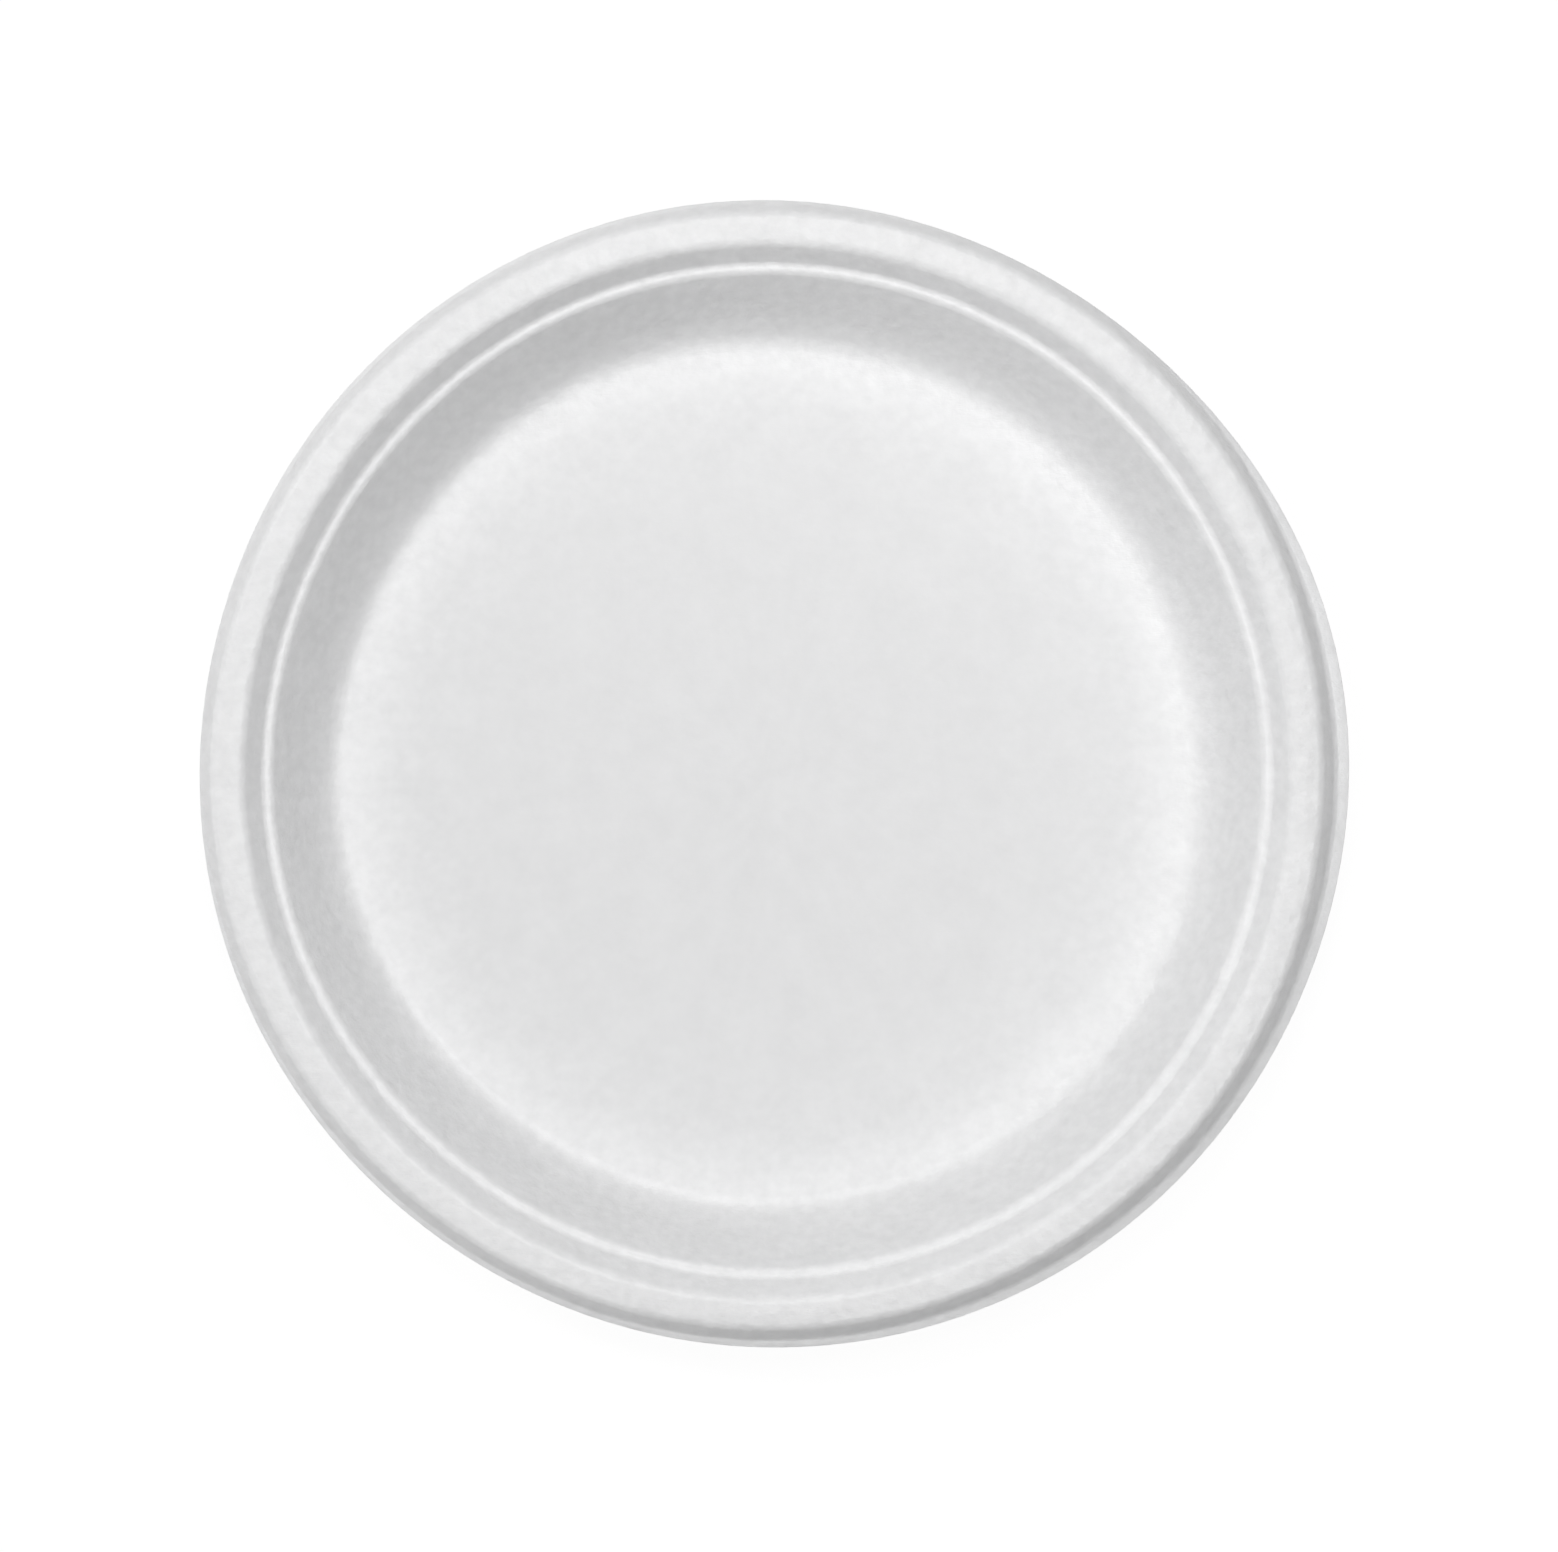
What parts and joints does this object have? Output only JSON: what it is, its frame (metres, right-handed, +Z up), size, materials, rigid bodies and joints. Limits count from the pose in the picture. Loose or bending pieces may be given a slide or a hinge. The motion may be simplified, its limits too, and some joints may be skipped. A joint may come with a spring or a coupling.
{
  "type": "paper plate",
  "caption": "Round disposable dinner plate pressed from white plant fibre, with a flat base, sloping wall, stacking ledge, nearly level rim and turned-down lip.",
  "frame": {"origin": "in the plane that the plate stands on, below the middle of its trimmed outer edge", "axes": "+Z up, out of the plate's well; +X to the right and +Y to the top when the plate is seen from above"},
  "size_m": [0.228, 0.228, 0.02],
  "materials": {
    "pressed_fibre": "matte, with a faint sheen from the press"
  },
  "bodies": {
    "root": {"plate": "pressed_fibre"}
  },
  "joints": []
}
